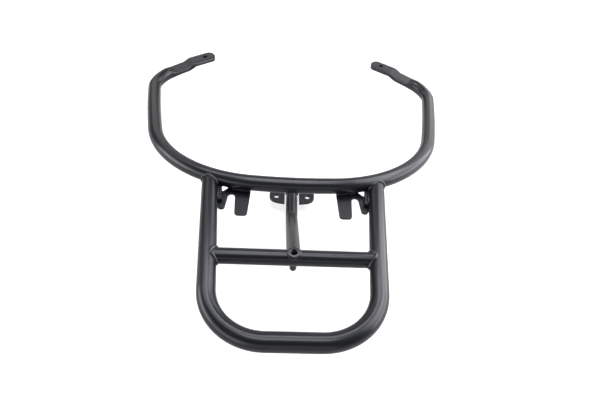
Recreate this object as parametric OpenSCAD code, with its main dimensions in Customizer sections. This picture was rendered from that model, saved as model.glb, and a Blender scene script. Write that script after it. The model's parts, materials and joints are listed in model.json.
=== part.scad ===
// Rear luggage rack with a passenger grab hoop, welded from bent steel tube.
// The frame: the origin is on the axis of the centre boss, in the plane of the
// rack's tubes. +X is to the right, +Y is forward to the hoop's two bolted ends,
// +Z is up. All sizes are in millimetres.

/* [Tubes] */
// Outer diameter of the hoop's tube and of the rack loop's tube
tube_d = 20; // [18:0.5:22]
// Wall of every tube
tube_wall = 2; // [1.2:0.1:2.5]
// Outer diameter of the cross tube
cross_d = 18; // [16:0.5:20]
// Outer diameter of the centre strut
strut_d = 16; // [14:0.5:18]

/* [Grab hoop] */
// Distance from the boss forward to the hoop's rear centre line
hoop_y = 109; // [100:1:125]
// Height of the hoop's rear centre line above the plane of the rack
hoop_z = 4.5; // [2:0.1:6]
// Angle by which the hoop's plane falls toward the front
hoop_fall = 7.5; // [5:0.1:10]
// Radius of the hoop's shallow rear bow
bow_r = 680; // [500:10:900]
// Half angle of that bow
bow_a = 4.5; // [3.5:0.1:5.5]
// Radius of each rear corner
corner_r = 165; // [155:1:175]
// Angle of each rear corner
corner_a = 70.5; // [68:0.5:73]
// Length of each side, which is bowed a little
side_l = 138.2; // [120:0.1:160]
// Angle of the bow in each side
side_a = 3.5; // [2:0.1:5]
// Radius of each front bend
front_r = 52; // [45:1:60]
// Angle of each front bend
front_a = 56; // [50:0.5:62]
// Angle by which the plane of the front bend is turned up
front_roll = 13; // [9:0.5:17]

/* [Pressed ends] */
// Width of the flattened tube
flat_w = 27; // [25:0.5:29]
// Thickness of the flattened tube
flat_t = 8; // [6:0.5:9]
// Length over which the round tube is pressed flat
press_l = 14; // [11:0.5:17]
// Angle by which the flat turns inward from the tube's line
flat_turn = 10.5; // [6:0.1:14]
// Length of the sloping flat before the offset bend
slope_l = 22.5; // [19:0.5:26]
// Distance by which the flat lies below the tube's centre line
flat_drop = 1.65; // [0.5:0.05:2.5]
// Angle of the offset bend
joggle_a = 17; // [12:0.5:22]
// Length between the offset bend's two curves
joggle_l = 7.9; // [6:0.1:10]
// Radius of the offset bend's two curves
joggle_r = 12; // [9:0.5:16]
// Distance from the offset bend to the bolt hole
tip_hole_l = 22.1; // [19:0.1:25]
// Distance from the offset bend to the rounded end
tip_l = 41.1; // [38:0.1:47]
// Diameter of the bolt hole
tip_hole_d = 8.4; // [7:0.1:10]

/* [Rack loop] */
// Distance between the rails' centre lines at the hoop's rear line
rail_gap = 210; // [190:1:220]
// Angle by which each rail leans in toward the rear
rail_taper = 5.8; // [3:0.1:7]
// Distance from the boss back to the loop's rear centre line
loop_back = 99; // [85:1:120]
// Radius of the two rear corners
loop_r = 62.5; // [50:0.5:68]

/* [Strut and lug plate] */
// Angle by which the strut falls from the cross tube
strut_fall = 28; // [24:0.5:32]
// Depth of the strut's level end below the rack's plane
strut_depth = 60; // [54:0.5:66]
// Radius of the strut's bend
strut_r = 40; // [30:1:60]
// Distance from the boss forward to the strut's end
strut_end = 157; // [150:1:160]
// Distance between the two lug holes
lug_gap = 43; // [40:0.5:48]
// Diameter of the two lug holes
lug_hole_d = 7; // [6:0.1:8.4]
// Distance from the boss forward to the lug holes
lug_y = 146; // [144:0.5:148]
// Radius of the plate around each lug hole
lug_r = 9.6; // [8.5:0.1:11]
// Thickness of the lug plate
lug_t = 4; // [3:0.1:6]
// Gap between the strut and the plate's notch, each side
notch_clear = 2; // [1:0.1:3]
// Depth of the plate in front of the strut's end
lug_front = 13; // [9:0.5:18]

/* [Centre boss] */
// Diameter of the boss
boss_d = 14; // [12:0.1:15]
// Height of the boss above the rack's plane
boss_top = 10.4; // [10.1:0.1:11.5]
// Diameter of the tapped hole at its thread crests
boss_hole_d = 6.8; // [5:0.1:8.5]
// Depth of the tapped hole
boss_hole_l = 16; // [12:0.5:17]
// Diameter of the pin below the boss
pin_d = 8; // [6:0.1:9]
// Depth of the pin's tip below the rack's plane
pin_depth = 22; // [17:0.5:26]

/* [Side brackets] */
// Thickness of each bracket plate
plate_t = 3; // [2:0.1:4]
// Distance from the middle to the inner edge of the tongue's root
tongue_x = 54.3; // [51:0.1:56]
// Width of the tongue at its root
root_w = 19; // [17:0.1:21]
// Width of the tongue at its end
tongue_w = 15.6; // [13:0.1:17]
// Distance from the hoop's rear line back to the tongue's end
tongue_l = 42.5; // [35:0.5:50]
// Radius of the tongue's end corners
tongue_r = 4.5; // [3:0.1:6]
// Width of the slot between the tongue and the leg
slot_w = 8.6; // [7:0.1:10]
// Distance from the hoop's rear line back to the slot's rounded top
slot_top = 7.5; // [6.5:0.1:10]
// Distance from the hoop's rear line back to the leg's end
leg_l = 33.4; // [30:0.5:38]
// Width of the leg at its end
leg_w = 9; // [8.5:0.1:10]
// Width of the square bar on the leg
bar_w = 6; // [5:0.1:7]
// Length of the square bar
bar_l = 30; // [26:0.5:33]

/* [Welds] */
// Size of the weld beads between tubes
bead = 3; // [2:0.1:4]
// Size of the weld beads on the plates
plate_bead = 2.4; // [1.6:0.1:3]
// Height of the weld around the boss
boss_bead = 0.9; // [0.5:0.1:1]

/* [Hidden] */
$fa = 0.6;
$fs = 0.4;
black = [0.13, 0.13, 0.14];
black_weld = [0.16, 0.16, 0.17];
tube_r = tube_d / 2;
bore_cut = 2 * tube_wall;
lap = 0.5;
hair = 0.1;
press_sides = 16;
room = 3 * tube_d;

// The plane of the bracket plates touches the underside of the hoop.
plate_top = hoop_z - tube_r - 0.7;
plate_low = plate_top - plate_t;
slot_x = tongue_x + root_w;
leg_x = slot_x + slot_w;

// Where a corner of the hoop has its centre, measured in the hoop's own plane.
corner_cx = (bow_r - corner_r) * sin(bow_a);
corner_cy = bow_r - (bow_r - corner_r) * cos(bow_a);
function hoop_run(x) = corner_cy - sqrt(pow(corner_r, 2) - pow(x - corner_cx, 2));

// Where each rail meets the hoop.
meet_x = rail_gap / 2 + hoop_run(rail_gap / 2) * tan(rail_taper);
meet_y = hoop_y + hoop_run(meet_x) * cos(hoop_fall);
function rail_x(y) = rail_gap / 2 - (hoop_y - y) * tan(rail_taper);

// The rack loop's rear corners and straight lengths.
loop_turn = 90 - rail_taper;
corner_end_y = loop_r * (1 - cos(loop_turn)) - loop_back;
rear_half = rail_x(corner_end_y) - loop_r * sin(loop_turn);
rail_l = (meet_y - 2 - corner_end_y) / cos(rail_taper);

// The strut: a sloping run, a bend and a level run.
bend_run = strut_r * tan(strut_fall / 2);
slope_run = strut_depth / sin(strut_fall) - bend_run;
bend_y = strut_depth / tan(strut_fall);
level_run = strut_end - bend_y - bend_run;

// The lug plate lies level beside the upper half of the strut.
lug_top = strut_d / 2 - strut_depth - 1;
notch_half = strut_d / 2 + notch_clear;
lug_weld_low = strut_d / 8;

// The boss passes this far below the middle of the cross tube.
boss_root = cross_d / 3;

// Placing matrices, used to follow a bent tube from one length to the next.
function shift(v) = [[1, 0, 0, v[0]], [0, 1, 0, v[1]], [0, 0, 1, v[2]], [0, 0, 0, 1]];
function about_x(a) = [[1, 0, 0, 0], [0, cos(a), -sin(a), 0], [0, sin(a), cos(a), 0], [0, 0, 0, 1]];
function about_y(a) = [[cos(a), 0, sin(a), 0], [0, 1, 0, 0], [-sin(a), 0, cos(a), 0], [0, 0, 0, 1]];
function about_z(a) = [[cos(a), -sin(a), 0, 0], [sin(a), cos(a), 0, 0], [0, 0, 1, 0], [0, 0, 0, 1]];
// The place reached after a bend to the left of radius r through an angle a.
function bent(m, r, a) = m * shift([-r, 0, 0]) * about_z(a) * shift([r, 0, 0]);
// The place reached after a straight run of length l.
function along(m, l) = m * shift([0, l, 0]);

// The place reached after a bend upward, or downward where the angle is below zero.
function risen(m, r, a) = m * shift([0, 0, sign(a) * r]) * about_x(a) * shift([0, 0, -sign(a) * r]);

// A bend of round bar that starts at the origin, heads along +Y and turns left.
// With a lap, it is a hair thinner and runs a little way into both of its neighbours.
module bend_of(r, a, d, lap = 0) {
    lap_a = lap / r * 180 / PI;
    translate([-r, 0, 0])
        rotate([0, 0, -lap_a])
            rotate_extrude(angle = a + 2 * lap_a)
                translate([r, 0])
                    circle(d = lap > 0 ? d - hair : d);
}

// A straight length of round bar from the origin along +Y.
module run_of(l, d) {
    rotate([-90, 0, 0])
        cylinder(d = d, h = l);
}

// The two mirror-image halves of a symmetric piece.
module both_sides() {
    children();
    mirror([1, 0, 0]) children();
}

// The right side is drawn, and the left side is its mirror image.
module on_side(left) {
    mirror([left ? 1 : 0, 0, 0]) children();
}

// The hoop's right half, bend by bend, from its rear centre.
hoop_start = shift([0, hoop_y, hoop_z]) * about_x(-hoop_fall) * about_z(-90);
after_bow = bent(hoop_start, bow_r, bow_a);
after_corner = bent(after_bow, corner_r, corner_a);
side_r = side_l / (side_a * PI / 180);
after_side = bent(after_corner, side_r, side_a) * about_y(front_roll);
after_front = bent(after_side, front_r, front_a);

// The pressed end starts where the round tube stops, and its width lies level.
press_at = along(after_front, press_l) * [0, 0, 0, 1];
press_dir = after_front * [0, 1, 0, 0];
press_turn = atan2(press_dir[1], press_dir[0]) - 90;
press_slope = asin(press_dir[2]);
press_end = shift([press_at[0], press_at[1], press_at[2]]);
press_place = press_end * about_z(press_turn) * about_x(press_slope) * shift([0, -press_l, 0]);
flat_place = press_end * about_z(press_turn + flat_turn) * about_x(press_slope) * shift([0, 0, -flat_drop]);
joggle_up = along(flat_place, slope_l);
joggle_run = risen(joggle_up, joggle_r, joggle_a);
joggle_down = along(joggle_run, joggle_l);
tip_place = risen(joggle_down, joggle_r, -joggle_a - press_slope);

// Round bar along the hoop's shallow rear bow, from one rear corner to the other.
module hoop_bow(d) {
    multmatrix(bent(hoop_start, bow_r, -bow_a)) bend_of(bow_r, 2 * bow_a, d);
}

// Round bar along the hoop's right half, from the rear corner to the pressed end.
module hoop_half(d) {
    multmatrix(after_bow) bend_of(corner_r, corner_a, d, lap);
    multmatrix(after_corner) bend_of(side_r, side_a, d);
    multmatrix(after_side) bend_of(front_r, front_a, d, lap);
}

// The part of the hoop that the right rail, plate and welds meet, as round bar.
module hoop_rear(d) {
    hoop_bow(d);
    multmatrix(after_bow) bend_of(corner_r, 40, d, lap);
}

// The flattened tube's section, which keeps rounded sides.
module flat_section(t) {
    square([flat_w - flat_t, t], center = true);
    for (s = [-1, 1])
        translate([s * (flat_w - flat_t) / 2, 0])
            circle(d = t);
}

// A length of flattened tube from the origin along +Y.
module flat_of(l, t = flat_t) {
    rotate([-90, 0, 0])
        linear_extrude(l)
            flat_section(t);
}

// A bend of flattened tube that starts at the origin, heads along +Y and rises or falls.
module flat_bend(r, a) {
    lap_a = lap / r * 180 / PI;
    rotate([0, sign(a) * 90, 0])
        translate([-r, 0, 0])
            rotate([0, 0, -lap_a])
                rotate_extrude(angle = abs(a) + 2 * lap_a)
                    translate([r, 0])
                        rotate(90)
                            flat_section(flat_t - hair);
}

// A thin slice of the pressed tube, sixteen-sided around its curves.
module press_slice(w, h) {
    rotate([-90, 0, 0])
        linear_extrude(hair)
            for (s = [-1, 1])
                translate([s * (w - h) / 2, 0])
                    rotate(180 / press_sides)
                        circle(d = h / cos(180 / press_sides), $fn = press_sides);
}

// The squeezed length, which closes and widens from the round tube to the flat.
module squeeze() {
    hull() {
        multmatrix(press_place) press_slice(tube_d, tube_d);
        multmatrix(along(flat_place, lap)) press_slice(flat_w - 2 * hair, flat_t - 2 * hair);
    }
}

// The level end of the pressed tube, with its full round end.
module tip_blade() {
    intersection() {
        flat_of(tip_l);
        translate([0, 0, -flat_t]) {
            translate([-flat_w / 2, 0, 0]) cube([flat_w, tip_l - flat_w / 2, 2 * flat_t]);
            translate([0, tip_l - flat_w / 2, 0]) cylinder(d = flat_w, h = 2 * flat_t);
        }
    }
}

// One pressed end: the squeezed length, the sloping flat, the offset bend and the level end.
module pressed_end() {
    squeeze();
    multmatrix(flat_place) flat_of(slope_l);
    multmatrix(joggle_up) flat_bend(joggle_r, joggle_a);
    multmatrix(joggle_run) flat_of(joggle_l);
    multmatrix(joggle_down) flat_bend(joggle_r, -joggle_a - press_slope);
    multmatrix(tip_place) tip_blade();
}

// The grab hoop: one bent tube with both ends pressed flat and drilled.
module seat_hoop() {
    color(black)
        difference() {
            union() {
                hoop_bow(tube_d);
                both_sides() {
                    hoop_half(tube_d);
                    pressed_end();
                }
            }
            hoop_bow(tube_d - bore_cut);
            both_sides() {
                hoop_half(tube_d - bore_cut);
                multmatrix(tip_place)
                    translate([0, tip_hole_l, -flat_t])
                        cylinder(d = tip_hole_d, h = 2 * flat_t);
            }
        }
}

// Round bar along the rack loop: the rear straight, then the right corner and rail.
loop_start = shift([0, -loop_back, 0]) * about_z(-90);
loop_corner = along(loop_start, rear_half);
rail_start = bent(loop_corner, loop_r, loop_turn);
module loop_rear(d) {
    multmatrix(along(loop_start, -rear_half)) run_of(2 * rear_half, d);
}
module loop_half(d) {
    multmatrix(loop_corner) bend_of(loop_r, loop_turn, d, lap);
    rail(d);
}

// Round bar along the straight right rail, which a cut runs past at the front.
module rail(d, past = 0) {
    multmatrix(rail_start) run_of(rail_l + past, d);
}

// The rack loop: one bent tube whose two ends are fitted to the hoop.
module rack_loop() {
    color(black)
        difference() {
            union() {
                loop_rear(tube_d);
                both_sides() loop_half(tube_d);
            }
            loop_rear(tube_d - bore_cut);
            both_sides() {
                loop_half(tube_d - bore_cut);
                hoop_rear(tube_d);
            }
        }
}

// Round bar across the rack from rail to rail.
module cross_bar(d) {
    translate([-rail_x(0), 0, 0])
        rotate([0, 90, 0])
            cylinder(d = d, h = 2 * rail_x(0));
}

// The cross tube, fitted to the rails and drilled for the boss.
module cross_tube() {
    color(black)
        difference() {
            cross_bar(cross_d);
            cross_bar(cross_d - bore_cut);
            both_sides() rail(tube_d);
            boss_body();
        }
}

// The boss's outside: a bush on top and a round-ended pin below.
module boss_body() {
    translate([0, 0, -boss_root]) cylinder(d = boss_d, h = boss_top + boss_root);
    translate([0, 0, pin_d / 2 - pin_depth]) cylinder(d = pin_d, h = pin_depth - pin_d / 2);
    translate([0, 0, pin_d / 2 - pin_depth]) sphere(d = pin_d);
}

// The tapped boss in the middle of the cross tube.
module centre_boss() {
    color(black)
        difference() {
            boss_body();
            translate([0, 0, boss_top - boss_hole_l]) cylinder(d = boss_hole_d, h = boss_hole_l + 1);
        }
}

// Round bar along the strut, from inside the cross tube to its level end.
strut_start = about_x(-strut_fall) * about_y(90);
strut_bend = along(strut_start, slope_run);
strut_level = bent(strut_bend, strut_r, strut_fall);
module strut_bar(d) {
    multmatrix(strut_start) run_of(slope_run, d);
    multmatrix(strut_bend) bend_of(strut_r, strut_fall, d, lap);
    multmatrix(strut_level) run_of(level_run, d);
}

// The centre strut, fitted to the cross tube and to the pin behind it.
module centre_strut() {
    color(black)
        difference() {
            strut_bar(strut_d);
            strut_bar(strut_d - bore_cut);
            cross_bar(cross_d);
            boss_body();
        }
}

// One ear of the lug plate, from its rear edge to the plate's front corner.
module ear_outline() {
    lug_x = lug_gap / 2;
    ear_x = lug_x + lug_r;
    front_y = strut_end + lug_front;
    translate([lug_x, lug_y]) circle(r = lug_r);
    polygon([[notch_half, lug_y - 12.5], [lug_x, lug_y - lug_r - 1], [lug_x + 4, lug_y - lug_r + 0.9],
        [ear_x - 4, lug_y], [notch_half, lug_y]]);
    translate([notch_half, lug_y]) square([ear_x - notch_half, front_y - 4 - lug_y]);
    translate([notch_half, lug_y]) square([ear_x - 4 - notch_half, front_y - lug_y]);
    translate([ear_x - 4, front_y - 4]) circle(r = 4);
}

// The lug plate's outline: two ears joined in front of the strut's end.
module lug_outline() {
    for (m = [0, 1])
        mirror([m, 0]) ear_outline();
    translate([-notch_half - 1, strut_end])
        square([2 * notch_half + 2, lug_front]);
}

// The lug plate, with its two bolt holes.
module lug_plate() {
    color(black)
        translate([0, 0, lug_top - lug_t])
            difference() {
                linear_extrude(lug_t) lug_outline();
                for (s = [-1, 1])
                    translate([s * lug_gap / 2, lug_y, -1])
                        cylinder(d = lug_hole_d, h = lug_t + 2);
            }
}

// The right bracket's outline: a tongue under the seat and a leg along the rail.
module foot_outline() {
    tongue_in = tongue_x + (root_w - tongue_w) / 2;
    tongue_out = tongue_in + tongue_w;
    tongue_low = hoop_y - tongue_l;
    leg_low = hoop_y - leg_l;
    difference() {
        union() {
            polygon([[tongue_x, hoop_y + 8], [tongue_x, hoop_y - 5], [tongue_in, tongue_low + tongue_r],
                [tongue_out, tongue_low + tongue_r], [slot_x, hoop_y - 10], [slot_x, hoop_y + 8]]);
            translate([tongue_in + tongue_r, tongue_low])
                square([tongue_w - 2 * tongue_r, tongue_r + 1]);
            for (x = [tongue_in + tongue_r, tongue_out - tongue_r])
                translate([x, tongue_low + tongue_r]) circle(r = tongue_r);
            polygon([[slot_x - 1, hoop_y + 8], [slot_x - 1, hoop_y - slot_top - slot_w / 2],
                [leg_x, hoop_y - slot_top - slot_w / 2], [leg_x + 1.8, leg_low + leg_w / 2],
                [leg_x + 22, leg_low + leg_w / 2], [leg_x + 22, hoop_y - 3.5],
                [leg_x + 6.5, hoop_y - 3.5], [leg_x + 1.4, hoop_y + 1.5], [leg_x + 1.4, hoop_y + 8]]);
            translate([leg_x + 1.8 + leg_w / 2, leg_low + leg_w / 2]) circle(d = leg_w);
        }
        translate([slot_x + slot_w / 2, hoop_y - slot_top - slot_w / 2]) circle(d = slot_w);
        translate([slot_x, hoop_y - slot_top - slot_w / 2 - 3]) square([slot_w, 3]);
    }
}

// One bracket plate, fitted under the hoop and against the rail.
module foot_plate(left) {
    color(black)
        on_side(left)
            difference() {
                translate([0, 0, plate_low]) linear_extrude(plate_t) foot_outline();
                hoop_rear(tube_d);
                rail(tube_d);
                beyond_rail();
            }
}

// Everything outside the rail's centre line.
module beyond_rail() {
    multmatrix(rail_start)
        translate([0, -room / 2, -room / 2])
            cube([room, rail_l + room, room]);
}

// The space of one square bar on the leg, against the rail.
module bar_block() {
    multmatrix(along(rail_start, rail_l - bar_l - 8))
        translate([-tube_r - bar_w + 1, 0, plate_top])
            cube([bar_w + tube_r - 1, bar_l, -plate_top]);
}

// One square bar, which joins the bracket plate to the rail.
module gusset_bar(left) {
    color(black)
        on_side(left)
            difference() {
                bar_block();
                rail(tube_d);
                hoop_rear(tube_d);
                beyond_rail();
            }
}

// The weld around the end of one rail.
module hoop_weld(left) {
    color(black_weld)
        on_side(left)
            difference() {
                intersection() {
                    rail(tube_d + 2 * bead);
                    hoop_rear(tube_d + 2 * bead);
                }
                rail(tube_d, tube_r);
                hoop_rear(tube_d);
                gusset_space();
            }
}

// The space that the square bar and the plate need beside the rail.
module gusset_space() {
    bar_block();
    translate([0, 0, plate_low]) linear_extrude(plate_t) foot_outline();
}

// The weld around one end of the cross tube.
module cross_weld(left) {
    color(black_weld)
        on_side(left)
            difference() {
                intersection() {
                    cross_bar(cross_d + 2 * bead);
                    rail(tube_d + 2 * bead);
                }
                cross_bar(cross_d);
                rail(tube_d);
            }
}

// The low weld around the boss on top of the cross tube.
module boss_weld() {
    color(black_weld)
        difference() {
            intersection() {
                cylinder(d = boss_d + 2 * bead, h = boss_top);
                cross_bar(cross_d + 2 * boss_bead);
            }
            cross_bar(cross_d);
            boss_body();
            strut_bar(strut_d + 2 * bead - 1);
        }
}

// The weld around the strut's upper end.
module strut_weld() {
    color(black_weld)
        difference() {
            intersection() {
                strut_bar(strut_d + 2 * bead - 1);
                cross_bar(cross_d + 2 * bead - 1);
            }
            strut_bar(strut_d);
            cross_bar(cross_d);
            boss_body();
        }
}

// The weld between the strut's end and the bottom of the plate's notch.
module lug_weld() {
    color(black_weld)
        difference() {
            translate([0, strut_end - plate_bead, -strut_depth])
                rotate([-90, 0, 0])
                    cylinder(d = strut_d + 1.5 * notch_clear, h = 2 * plate_bead);
            strut_bar(strut_d);
            translate([0, strut_end - room / 2, -strut_depth])
                rotate([-90, 0, 0])
                    cylinder(d = strut_d - bore_cut, h = room);
            translate([0, 0, lug_top - lug_t]) linear_extrude(lug_t) lug_outline();
            translate([-room / 2, strut_end - room / 2, -strut_depth - lug_weld_low - room])
                cube(room);
        }
}

// The weld between one bracket plate and the hoop.
module foot_weld(left) {
    color(black_weld)
        on_side(left)
            difference() {
                intersection() {
                    hoop_rear(tube_d + 2 * plate_bead);
                    translate([tongue_x + 1, hoop_y - 20, plate_top])
                        cube([slot_x + 5 - tongue_x, 20 + hoop_run(slot_x) / 2, plate_bead]);
                }
                hoop_rear(tube_d);
            }
}

// The weld between one square bar and the rail.
module gusset_weld(left) {
    color(black_weld)
        on_side(left)
            difference() {
                intersection() {
                    rail(tube_d + 2 * plate_bead);
                    multmatrix(along(rail_start, rail_l - bar_l - 7))
                        translate([-tube_r - bar_w, 0, 0])
                            cube([bar_w + tube_r - 2, bar_l - 12, plate_bead]);
                }
                rail(tube_d);
                hoop_rear(tube_d + 2 * bead);
            }
}

seat_hoop();
rack_loop();
cross_tube();
centre_strut();
centre_boss();
lug_plate();
foot_plate(true);  // left_foot_plate
foot_plate(false);  // right_foot_plate
gusset_bar(true);  // left_gusset_bar
gusset_bar(false);  // right_gusset_bar
hoop_weld(true);  // left_hoop_weld
hoop_weld(false);  // right_hoop_weld
cross_weld(true);  // left_cross_weld
cross_weld(false);  // right_cross_weld
boss_weld();
strut_weld();
lug_weld();
foot_weld(true);  // left_foot_weld
foot_weld(false);  // right_foot_weld
gusset_weld(true);  // left_gusset_weld
gusset_weld(false);  // right_gusset_weld
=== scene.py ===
"""Looks of a rear luggage rack with a passenger grab hoop, welded from bent steel tube.

The solids come ready made. This script dresses them in satin black powder coat, puts smooth
or rippled pieces in the place of most, and sets the floor, the light and the camera.
"""

import json
import logging
import math
from dataclasses import dataclass
from enum import Enum
from typing import Sequence

import bmesh
import bpy
from mathutils import Matrix, Vector

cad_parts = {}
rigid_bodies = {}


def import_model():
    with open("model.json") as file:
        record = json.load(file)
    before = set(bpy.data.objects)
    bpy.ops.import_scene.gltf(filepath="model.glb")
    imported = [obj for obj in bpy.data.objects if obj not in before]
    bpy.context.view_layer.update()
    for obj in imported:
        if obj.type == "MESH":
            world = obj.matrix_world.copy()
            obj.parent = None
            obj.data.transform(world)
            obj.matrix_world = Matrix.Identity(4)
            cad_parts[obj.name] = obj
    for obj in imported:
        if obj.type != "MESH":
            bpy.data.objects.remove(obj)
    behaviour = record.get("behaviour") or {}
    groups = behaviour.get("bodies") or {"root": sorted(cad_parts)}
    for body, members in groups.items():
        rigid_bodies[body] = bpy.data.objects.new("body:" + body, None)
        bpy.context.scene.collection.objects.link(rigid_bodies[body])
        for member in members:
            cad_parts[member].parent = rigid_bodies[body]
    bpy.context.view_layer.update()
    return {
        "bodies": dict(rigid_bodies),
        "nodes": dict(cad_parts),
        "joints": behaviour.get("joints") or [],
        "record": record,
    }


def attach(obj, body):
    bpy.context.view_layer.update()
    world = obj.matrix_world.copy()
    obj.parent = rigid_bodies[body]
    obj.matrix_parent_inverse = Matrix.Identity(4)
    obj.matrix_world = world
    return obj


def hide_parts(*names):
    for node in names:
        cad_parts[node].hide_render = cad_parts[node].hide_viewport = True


LOG = logging.getLogger("rack")
MM = 0.001
# How far the smooth skins stay inside the solids that they stand for, in millimetres.
SKIN = 0.1


def linear(code: str) -> tuple[float, float, float, float]:
    """Turns an sRGB hex colour into linear light.

    Args:
        code: The colour as six hex digits, such as "1f2022".

    Returns:
        Red, green, blue and an alpha of one, in linear light.
    """
    parts = [int(code[i:i + 2], 16) / 255 for i in (0, 2, 4)]
    red, green, blue = (c / 12.92 if c <= 0.04045 else ((c + 0.055) / 1.055) ** 2.4 for c in parts)
    return red, green, blue, 1.0


def add_node(tree: bpy.types.NodeTree, kind: str, settings: dict | None = None,
             links: dict | None = None) -> bpy.types.Node:
    """Adds one node with its settings and its incoming links.

    Args:
        tree: The node tree that the node goes into.
        kind: The node's type name.
        settings: Attribute names, or inputs written as "in:NAME" or "in:NUMBER", and their
            values.
        links: Input names or numbers, and the output sockets that feed them.

    Returns:
        The new node.
    """
    node = tree.nodes.new(kind)
    for key, value in (settings or {}).items():
        if key.startswith("in:"):
            name = key[3:]
            node.inputs[int(name) if name.isdigit() else name].default_value = value
        else:
            setattr(node, key, value)
    for key, socket in (links or {}).items():
        tree.links.new(socket, node.inputs[int(key) if key.isdigit() else key])
    return node


class Surface(Enum):
    """What lies under the powder coat."""

    TUBE = "tube"
    PLATE = "plate"
    WELD = "weld"


@dataclass(frozen=True)
class PowderCoat:
    """Satin black powder coat, sprayed on steel and baked.

    The coat gives the eye a near-black skin with a soft sheen, a faint orange peel, and
    grains of dust baked in here and there.
    """

    surface: Surface
    tone: str
    tone_thin: str
    roughness: float
    roughness_spread: float
    peel_mm: float
    peel_depth_mm: float
    coat: float
    coat_roughness: float
    patch_mm: float = 38.0
    grain_mm: float = 1.2
    dust_mm: float = 13.0
    dust_share: float = 0.035
    dust_height_mm: float = 0.12

    def material(self) -> bpy.types.Material:
        """Builds the powder-coated steel material for this surface."""
        mat = bpy.data.materials.new(f"powder_coated_steel_{self.surface.value}")
        mat.use_nodes = True
        tree = mat.node_tree
        tree.nodes.clear()
        place = add_node(tree, "ShaderNodeTexCoord").outputs["Object"]
        # The film is a little thinner in wide, soft patches, which lifts its tone there.
        patches = add_node(tree, "ShaderNodeTexNoise", {
            "in:Scale": 1 / (self.patch_mm * MM), "in:Detail": 3.0, "in:Roughness": 0.5},
            {"Vector": place})
        tone = add_node(tree, "ShaderNodeMix", {
            "data_type": "RGBA", "in:6": linear(self.tone), "in:7": linear(self.tone_thin)},
            {"Factor": patches.outputs["Fac"]})
        # Fine grain in the sheen, drawn coarser than the real one so that it shows.
        grain = add_node(tree, "ShaderNodeTexNoise", {
            "in:Scale": 1 / (self.grain_mm * MM), "in:Detail": 2.0, "in:Roughness": 0.6},
            {"Vector": place})
        sheen = add_node(tree, "ShaderNodeMapRange", {
            "in:From Min": 0.3, "in:From Max": 0.7,
            "in:To Min": self.roughness - self.roughness_spread,
            "in:To Max": self.roughness + self.roughness_spread}, {"Value": grain.outputs["Fac"]})
        # The faint orange peel that the powder leaves as it melts.
        peel = add_node(tree, "ShaderNodeTexNoise", {
            "in:Scale": 1 / (self.peel_mm * MM), "in:Detail": 1.5, "in:Roughness": 0.45},
            {"Vector": place})
        bump = add_node(tree, "ShaderNodeBump", {
            "in:Strength": 1.0, "in:Distance": self.peel_depth_mm * MM},
            {"Height": peel.outputs["Fac"]})
        # Grains of dust baked into the film, under a millimetre wide and a centimetre or so apart.
        specks = add_node(tree, "ShaderNodeTexVoronoi", {"in:Scale": 1 / (self.dust_mm * MM)},
                          {"Vector": place})
        dust = add_node(tree, "ShaderNodeMapRange", {
            "interpolation_type": "SMOOTHSTEP", "in:From Min": 0.0, "in:From Max": self.dust_share,
            "in:To Min": 1.0, "in:To Max": 0.0}, {"Value": specks.outputs["Distance"]})
        bump = add_node(tree, "ShaderNodeBump", {
            "in:Strength": 1.0, "in:Distance": self.dust_height_mm * MM},
            {"Height": dust.outputs["Result"], "Normal": bump.outputs["Normal"]})
        skin = add_node(tree, "ShaderNodeBsdfPrincipled", {
            "in:IOR": 1.5, "in:Metallic": 0.0, "in:Specular Tint": linear("f2f4ff"),
            "in:Coat Weight": self.coat, "in:Coat Roughness": self.coat_roughness,
            "in:Coat IOR": 1.5},
            {"Base Color": tone.outputs[2], "Roughness": sheen.outputs["Result"],
             "Normal": bump.outputs["Normal"]})
        add_node(tree, "ShaderNodeOutputMaterial", links={"Surface": skin.outputs["BSDF"]})
        return mat


FINISHES = {
    # The tubes give the eye the smoothest skin, with a long clear highlight.
    Surface.TUBE: PowderCoat(
        Surface.TUBE, tone="111217", tone_thin="17181d", roughness=0.31, roughness_spread=0.03,
        peel_mm=2.4, peel_depth_mm=0.008, coat=0.25, coat_roughness=0.14),
    # The cut plates are a little duller and greyer.
    Surface.PLATE: PowderCoat(
        Surface.PLATE, tone="14151a", tone_thin="1c1d22", roughness=0.36, roughness_spread=0.05,
        peel_mm=2.0, peel_depth_mm=0.015, coat=0.2, coat_roughness=0.16),
    # The weld beads sparkle, because the film is thin and glossy over their ripples.
    Surface.WELD: PowderCoat(
        Surface.WELD, tone="16171c", tone_thin="25262b", roughness=0.28, roughness_spread=0.05,
        peel_mm=1.2, peel_depth_mm=0.04, coat=0.4, coat_roughness=0.12),
}

TUBE_NODES = ("seat_hoop", "rack_loop", "cross_tube", "centre_strut", "centre_boss")
PLATE_NODES = ("lug_plate", "left_foot_plate", "right_foot_plate",
               "left_gusset_bar", "right_gusset_bar")
WELD_NODES = ("left_hoop_weld", "right_hoop_weld", "left_cross_weld", "right_cross_weld",
              "boss_weld", "strut_weld", "lug_weld", "left_foot_weld", "right_foot_weld",
              "left_gusset_weld", "right_gusset_weld")


@dataclass
class Coater:
    """Coats the solids of the rack, each in the finish of what it is made from."""

    frame: dict

    def run(self, materials: dict[Surface, bpy.types.Material]) -> None:
        """Puts the powder coat on every solid.

        Args:
            materials: The material of each surface.
        """
        for surface, names in ((Surface.TUBE, TUBE_NODES), (Surface.PLATE, PLATE_NODES),
                               (Surface.WELD, WELD_NODES)):
            for name in names:
                solid = self.frame["nodes"][name]
                solid.data.materials.clear()
                solid.data.materials.append(materials[surface])
                LOG.info("coated %s as %s", name, surface.value)


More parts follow.
